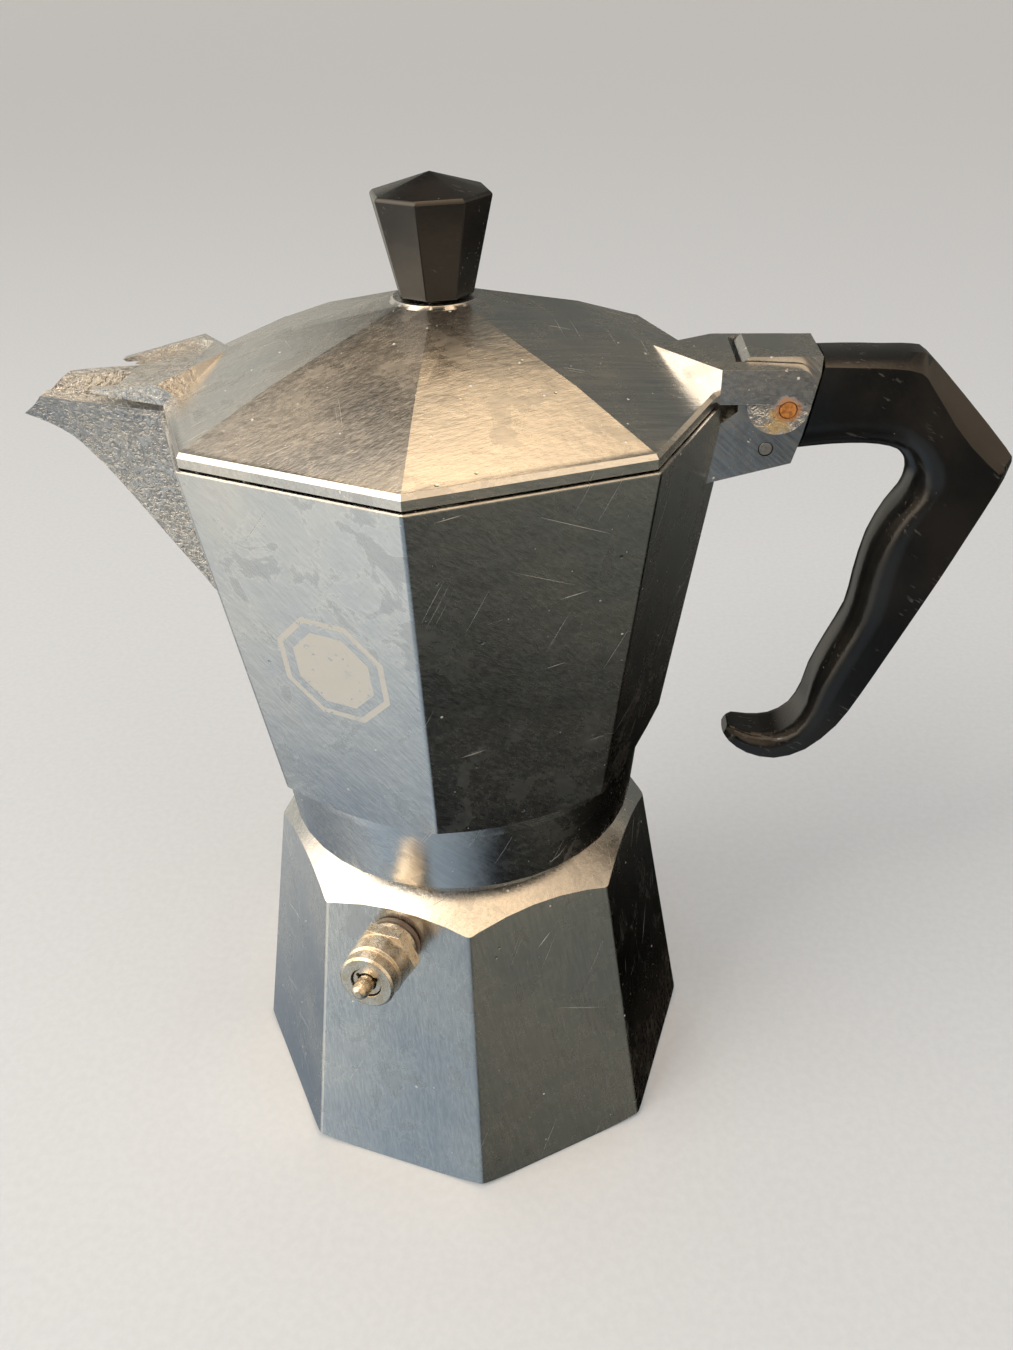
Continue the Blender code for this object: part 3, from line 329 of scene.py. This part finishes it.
def spout_pitting(g):
    """Pits on the spout, out past the collector's wall."""
    return g.both(g.ramp(g.x, -45.5, -48.5), g.ramp(g.z, 112.0, 120.0))


def lid_pitting(g):
    """Pits on the beak and on the lobes under the hinge."""
    low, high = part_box("lid")
    beak = g.ramp(g.x, low.x / MM + 22.0, low.x / MM + 15.0)
    lobes = g.both(g.ramp(g.z, low.z / MM + 5.8, low.z / MM + 5.2), g.ramp(g.x, 53.0, 54.5))
    return g.maths("MAXIMUM", g.maths("MULTIPLY", beak, 0.35), g.maths("MULTIPLY", lobes, 0.7))


def spun_aluminium():
    """Sheet aluminium with fine rings from spinning."""
    g = Graph("spun_sheet")
    radius = g.vector("LENGTH", g.vector("MULTIPLY", g.mm, (1.0, 1.0, 0.0)))
    rings = g.tree.nodes.new("ShaderNodeTexNoise")
    rings.noise_dimensions = "1D"
    g.put(rings.inputs["W"], radius)
    g.put(rings.inputs["Scale"], 2.4)
    g.put(rings.inputs["Detail"], 4.0)
    lines = rings.outputs[0]
    tint = g.noise(g.mm, 0.07, 4.0)
    colour = g.mix(g.ramp(tint, 0.4, 0.65), (0.60, 0.60, 0.60), (0.47, 0.42, 0.36))
    return g.finish(colour, 1.0, roughness=g.ramp(lines, 0.3, 0.7, 0.26, 0.40),
                    normal=g.bump(lines, 0.05))


def worn_nickel():
    """Nickel plate that has worn through to the brass in places."""
    g = Graph("worn_nickel")
    wear = g.ramp(g.noise(g.mm, 0.35, 5.0, 0.6), 0.42, 0.62)
    grime = g.ramp(g.noise(g.mm, 1.1, 4.0), 0.55, 0.70)
    colour = g.mix(g.maths("MULTIPLY", wear, 0.55), (0.68, 0.64, 0.57), (0.56, 0.44, 0.28))
    colour = g.mix(g.maths("MULTIPLY", grime, 0.5), colour, (0.16, 0.13, 0.08))
    marks = g.noise(g.mm, 2.2, 4.0, 0.6)
    return g.finish(colour, g.blend(grime, 1.0, 0.7),
                    roughness=g.total(g.ramp(marks, 0.3, 0.7, 0.22, 0.36),
                                      g.maths("MULTIPLY", grime, 0.2)),
                    normal=g.bump(marks, 0.05))


def plated_steel():
    """Zinc-plated steel, a little dulled."""
    g = Graph("plated_wire")
    marks = g.noise(g.mm, 1.4, 4.0)
    colour = g.mix(g.ramp(marks, 0.4, 0.65), (0.50, 0.51, 0.53), (0.36, 0.34, 0.30))
    return g.finish(colour, 1.0, roughness=g.ramp(marks, 0.3, 0.7, 0.28, 0.45),
                    normal=g.bump(marks, 0.03))


def rusty_steel():
    """Steel rusted all over."""
    g = Graph("rusty_pin")
    scale = g.noise(g.mm, 1.3, 6.0, 0.7)
    patch = g.noise(g.mm, 0.45, 3.0)
    colour = g.mix(g.ramp(scale, 0.35, 0.65), (0.27, 0.085, 0.02), (0.62, 0.25, 0.05))
    colour = g.mix(g.ramp(patch, 0.55, 0.7), colour, (0.70, 0.38, 0.12))
    return g.finish(colour, 0.15, roughness=g.ramp(scale, 0.3, 0.7, 0.65, 0.90),
                    normal=g.bump(scale, 0.25))


def bakelite(name, brown):
    """Black thermoset moulding, glossy where hands have polished it, with dust and scuffs."""
    g = Graph(name)
    cloud = g.noise(g.mm, 0.06, 4.0)
    grain = g.noise(g.mm, 1.8, 4.0, 0.6)
    dust = g.maths("MAXIMUM", g.specks(3.4, 0.13, 0.35),
                   g.maths("MULTIPLY", g.specks(6.5, 0.26, 0.3), 0.8))
    scuff = g.both(g.ramp(g.noise(g.turned((0, 30, 10), (0.15, 1.0, 1.0)), 1.3, 4.0), 0.60, 0.68),
                   g.ramp(g.noise(g.mm, 0.09, 2.0), 0.50, 0.62))
    colour = g.mix(g.ramp(cloud, 0.35, 0.7), (0.006, 0.0057, 0.0053), brown)
    colour = g.mix(g.maths("MULTIPLY", scuff, 0.5), colour, (0.085, 0.078, 0.068))
    colour = g.mix(g.maths("MULTIPLY", dust, 0.75), colour, (0.34, 0.33, 0.30))
    roughness = g.total(g.ramp(cloud, 0.3, 0.7, 0.12, 0.20), g.ramp(grain, 0.3, 0.7, 0.0, 0.05),
                        g.maths("MULTIPLY", scuff, 0.2), g.maths("MULTIPLY", dust, 0.4))
    height = g.total(g.maths("MULTIPLY", grain, 0.25),
                     g.maths("MULTIPLY", g.noise(g.mm, 0.25, 2.0), 0.8),
                     g.maths("MULTIPLY", dust, 0.3), g.maths("MULTIPLY", scuff, -0.2))
    return g.finish(colour, 0.0, roughness=roughness, normal=g.bump(height, 0.09, 0.7))


def soft_seal(name, fresh, aged):
    """Matt rubber or fibre, going from its fresh to its aged colour in clouds."""
    g = Graph(name)
    cloud = g.noise(g.mm, 0.12, 5.0, 0.6)
    grain = g.noise(g.mm, 2.5, 3.0)
    colour = g.mix(g.ramp(cloud, 0.4, 0.65), fresh, aged)
    return g.finish(colour, 0.0, roughness=g.ramp(grain, 0.3, 0.7, 0.55, 0.75),
                    normal=g.bump(grain, 0.05))


# ---------------------------------------------------------------- finished pieces

def is_crease(edge, sharp):
    """True where two faces meet sharply, or turn from one flat side to the next around Z."""
    if len(edge.link_faces) != 2:
        return True
    a, b = (face.normal for face in edge.link_faces)
    if a.angle(b, 0.0) > sharp:
        return True
    flat_a, flat_b = a.xy, b.xy
    if min(flat_a.length, flat_b.length) < 0.05:
        return False
    return a.angle(b, 0.0) > math.radians(3.0) and flat_a.angle(flat_b) > math.radians(25.0)


def mark_creases(mesh, sharp_deg):
    shape = bmesh.new()
    shape.from_mesh(mesh)
    for edge in shape.edges:
        edge.smooth = not is_crease(edge, math.radians(sharp_deg))
    shape.to_mesh(mesh)
    shape.free()


def finished_copy(node, material, edge_mm, sharp_deg=28.0):
    """The node's shape with flat faces made whole, its edges rounded and round parts smooth."""
    source = frame["nodes"][node]
    shape = bmesh.new()
    shape.from_mesh(source.data)
    bmesh.ops.remove_doubles(shape, verts=shape.verts, dist=0.000004)
    bmesh.ops.dissolve_limit(
        shape, angle_limit=math.radians(0.4), verts=shape.verts, edges=shape.edges)
    mesh = bpy.data.meshes.new(node + "_finish")
    shape.to_mesh(mesh)
    shape.free()
    piece = bpy.data.objects.new(node + "_finish", mesh)
    bpy.context.scene.collection.objects.link(piece)
    mesh.materials.append(material)
    for face in mesh.polygons:
        face.use_smooth = True
    if edge_mm:
        bevel = piece.modifiers.new("edges", "BEVEL")
        bevel.width = edge_mm * MM
        bevel.segments = 3
        bevel.limit_method = "ANGLE"
        bevel.angle_limit = math.radians(sharp_deg)
        bevel.use_clamp_overlap = True
        bevel.miter_outer = "MITER_ARC"
    bpy.context.view_layer.update()
    evaluated = piece.evaluated_get(bpy.context.evaluated_depsgraph_get())
    final = bpy.data.meshes.new_from_object(evaluated)
    piece.modifiers.clear()
    piece.data = final
    bpy.data.meshes.remove(mesh)
    mark_creases(final, sharp_deg)
    weighted = piece.modifiers.new("normals", "WEIGHTED_NORMAL")
    weighted.keep_sharp = True
    weighted.weight = 100
    return piece


def stand_in(node, body, slot, material, edge_mm):
    piece = finished_copy(node, material, edge_mm)
    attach(piece, body)
    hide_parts(node)
    return piece


def shorten_spring(spring):
    """Gives the spring a mesh of its own and reads the pin's travel, but leaves the spring's shape
    as it is.
    """
    name = "valve_pin_travel"
    joint = next(j for j in frame["record"]["behaviour"]["joints"] if j["name"] == name)
    axis = Vector(joint["axis"])
    travel = max(joint["range_m"])
    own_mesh(spring)


def body_of(node):
    for body, members in frame["record"]["behaviour"]["bodies"].items():
        if node in members:
            return body
    return None


SLOTS = {row["node"]: row["material_slot"] for row in frame["record"]["subparts"]}

aluminium = {
    "boiler": aged_aluminium("boiler_metal", (0, 82, 0)),
    "collector": aged_aluminium("collector_metal", (0, 42, 0), spout_pitting, etched_mark),
    "lid": aged_aluminium("lid_metal", (0, 12, 35), lid_pitting, hinge_rust),
    "column": aged_aluminium("column_metal", (0, 90, 0)),
}
nickel = worn_nickel()
spun = spun_aluminium()
steel = plated_steel()
finishes = {
    **aluminium,
    "valve_body": nickel, "valve_cap": nickel, "valve_pin": nickel, "knob_insert": nickel,
    "valve_spring": steel, "knob_screw": steel, "knob_washer": steel, "handle_pin": steel,
    "funnel_body": spun, "funnel_disc": spun, "filter_plate": spun,
    "hinge_pin": rusty_steel(),
    "handle": bakelite("handle_bakelite", (0.013, 0.0105, 0.0085)),
    "knob": bakelite("knob_bakelite", (0.016, 0.0125, 0.010)),
    "gasket": soft_seal("gasket_rubber", (0.62, 0.59, 0.52), (0.45, 0.38, 0.29)),
    "valve_seal": soft_seal("valve_seal_rubber", (0.60, 0.57, 0.50), (0.42, 0.36, 0.28)),
    "valve_washer": soft_seal("washer_fibre", (0.24, 0.20, 0.15), (0.15, 0.10, 0.07)),
}
edges = {  # width of each piece's rounded edges, in mm
    "boiler": 0.35, "collector": 0.4, "lid": 0.55, "column": 0.2, "handle": 0.7, "knob": 0.45,
    "valve_body": 0.18, "valve_pin": 0.12, "valve_cap": 0.08, "valve_washer": 0.15,
    "valve_seal": 0.15, "valve_spring": 0.0, "hinge_pin": 0.2, "handle_pin": 0.15,
    "funnel_body": 0.15, "funnel_disc": 0.0, "gasket": 0.4, "filter_plate": 0.0,
    "knob_insert": 0.15, "knob_screw": 0.15, "knob_washer": 0.12,
}
pieces = {
    node: stand_in(node, body_of(node), SLOTS[node], finishes[node], edges[node])
    for node in frame["nodes"]}
shorten_spring(pieces["valve_spring"])


# ---------------------------------------------------------------- studio

def pale_floor():
    bpy.ops.mesh.primitive_plane_add(size=60.0, location=(0.0, 0.0, cad_bounds[0][2]))
    floor = bpy.context.object
    floor.name = "studio_floor"
    g = Graph("floor_paper")
    grain = g.noise(g.mm, 0.5, 4.0)
    colour = g.mix(g.ramp(grain, 0.3, 0.7), (0.66, 0.655, 0.645), (0.69, 0.685, 0.675))
    floor.data.materials.append(g.finish(
        colour, 0.0, roughness=0.85, normal=g.bump(grain, 0.1, 0.3)))
    floor.visible_glossy = False


def direction(azimuth, elevation):
    a = math.radians(azimuth)
    e = math.radians(elevation)
    return (math.cos(a) * math.cos(e), math.sin(a) * math.cos(e), math.sin(e))


SOURCES = [  # what the metal mirrors
    # azimuth, elevation, half angle, colour
    (200, 27, 50, (1.50, 1.27, 1.00)),    # tall window on the left
    (200, -20, 36, (0.38, 0.35, 0.29)),   # its glow on the near end of the table
    (140, 0, 50, (0.38, 0.36, 0.31)),     # wall beyond the window
    (185, 60, 44, (0.60, 0.52, 0.42)),    # ceiling over the window
    (0, 90, 40, (1.10, 0.80, 0.50)),      # warm ceiling lamp
    (76, 60, 14, (0.50, 0.36, 0.22)),     # its bright rim
    (295, 25, 48, (0.62, 0.48, 0.33)),    # lit wall behind the camera
    (355, 34, 46, (0.42, 0.32, 0.22)),    # lit wall on the right
    (60, 15, 60, (0.08, 0.08, 0.07)),     # dim far side of the room
    (165, -62, 58, (0.11, 0.13, 0.15)),   # table on the left
    (245, -38, 44, (0.16, 0.19, 0.21)),   # table in front
    (325, -14, 44, (0.09, 0.09, 0.075)),  # dim room on the right
]



def soft_surroundings():
    """A studio of big soft sources: what the metal mirrors, and an even fill for the rest."""
    world = bpy.data.worlds.new("studio")
    bpy.context.scene.world = world
    world.use_nodes = True
    world.cycles.sampling_method = "NONE"
    tree = world.node_tree
    tree.nodes.clear()

    def node(kind, **settings):
        made = tree.nodes.new(kind)
        for key, value in settings.items():
            setattr(made, key, value)
        return made

    looking = node("ShaderNodeTexCoord").outputs["Generated"]
    glow = None
    for azimuth, elevation, reach, colour in SOURCES:
        dot = node("ShaderNodeVectorMath", operation="DOT_PRODUCT")
        tree.links.new(looking, dot.inputs[0])
        dot.inputs[1].default_value = direction(azimuth, elevation)
        fade = node("ShaderNodeMapRange", interpolation_type="SMOOTHERSTEP")
        tree.links.new(dot.outputs["Value"], fade.inputs["Value"])
        fade.inputs["From Min"].default_value = math.cos(math.radians(reach))
        fade.inputs["From Max"].default_value = 1.0
        tint = node("ShaderNodeVectorMath", operation="SCALE")
        tint.inputs[0].default_value = colour
        tree.links.new(fade.outputs[0], tint.inputs["Scale"])
        if glow is None:
            glow = tint.outputs["Vector"]
        else:
            add = node("ShaderNodeVectorMath", operation="ADD")
            tree.links.new(glow, add.inputs[0])
            tree.links.new(tint.outputs["Vector"], add.inputs[1])
            glow = add.outputs["Vector"]
    mirrored = node("ShaderNodeBackground")
    tree.links.new(glow, mirrored.inputs["Color"])
    mirrored.inputs["Strength"].default_value = 2.0
    fill = node("ShaderNodeBackground")
    fill.inputs["Color"].default_value = (0.80, 0.80, 0.80, 1.0)
    fill.inputs["Strength"].default_value = 0.86
    backdrop = node("ShaderNodeBackground")
    backdrop.inputs["Color"].default_value = (0.58, 0.575, 0.565, 1.0)
    kind = node("ShaderNodeLightPath")
    seen = fill
    for ray, source in (("Is Glossy Ray", mirrored), ("Is Camera Ray", backdrop)):
        choose = node("ShaderNodeMixShader")
        tree.links.new(kind.outputs[ray], choose.inputs[0])
        tree.links.new(seen.outputs[0], choose.inputs[1])
        tree.links.new(source.outputs[0], choose.inputs[2])
        seen = choose
    output = node("ShaderNodeOutputWorld")
    tree.links.new(seen.outputs[0], output.inputs["Surface"])


def soft_light(name, place, size, watts, colour, mirrored):
    data = bpy.data.lights.new(name, "AREA")
    data.shape = "RECTANGLE"
    data.size, data.size_y = size
    data.energy = watts
    data.color = colour
    light = bpy.data.objects.new(name, data)
    bpy.context.scene.collection.objects.link(light)
    middle = Vector((0.0, 0.0, 0.10))
    light.location = place
    light.rotation_euler = (middle - light.location).to_track_quat("-Z", "Y").to_euler()
    light.visible_glossy = mirrored
    return light


def photo_camera():
    """The viewpoint that the photograph was taken from."""
    place = Vector((25.0, -197.3, 236.8)) * MM
    azimuth = math.radians(4.15)
    elevation = math.radians(33.73)
    roll = math.radians(-1.48)
    back = Vector((math.sin(azimuth) * math.cos(elevation),
                   -math.cos(azimuth) * math.cos(elevation), math.sin(elevation)))
    right = Vector((0.0, 0.0, 1.0)).cross(back).normalized()
    up = back.cross(right)
    x_axis = right * math.cos(roll) + up * math.sin(roll)
    y_axis = up * math.cos(roll) - right * math.sin(roll)
    turn = Matrix((x_axis, y_axis, back)).transposed().to_4x4()
    data = bpy.data.cameras.new("camera")
    data.sensor_fit = "VERTICAL"
    data.sensor_height = 36.0
    data.lens = 29.48
    data.clip_start = 0.005
    data.clip_end = 200.0
    camera = bpy.data.objects.new("camera", data)
    camera.matrix_world = Matrix.Translation(place) @ turn
    bpy.context.scene.collection.objects.link(camera)
    bpy.context.scene.camera = camera


pale_floor()
soft_surroundings()
soft_light("key", (-0.75, -0.45, 0.85), (0.7, 0.7), 6.5, (1.0, 0.96, 0.90), False)
soft_light("fill", (0.9, -0.7, 0.9), (0.9, 0.9), 2.5, (0.95, 0.97, 1.0), False)
soft_light("glint", (-0.30, -0.42, 0.62), (0.06, 0.12), 0.36, (1.0, 0.92, 0.80), True)
photo_camera()
bpy.context.scene.view_settings.view_transform = "Standard"
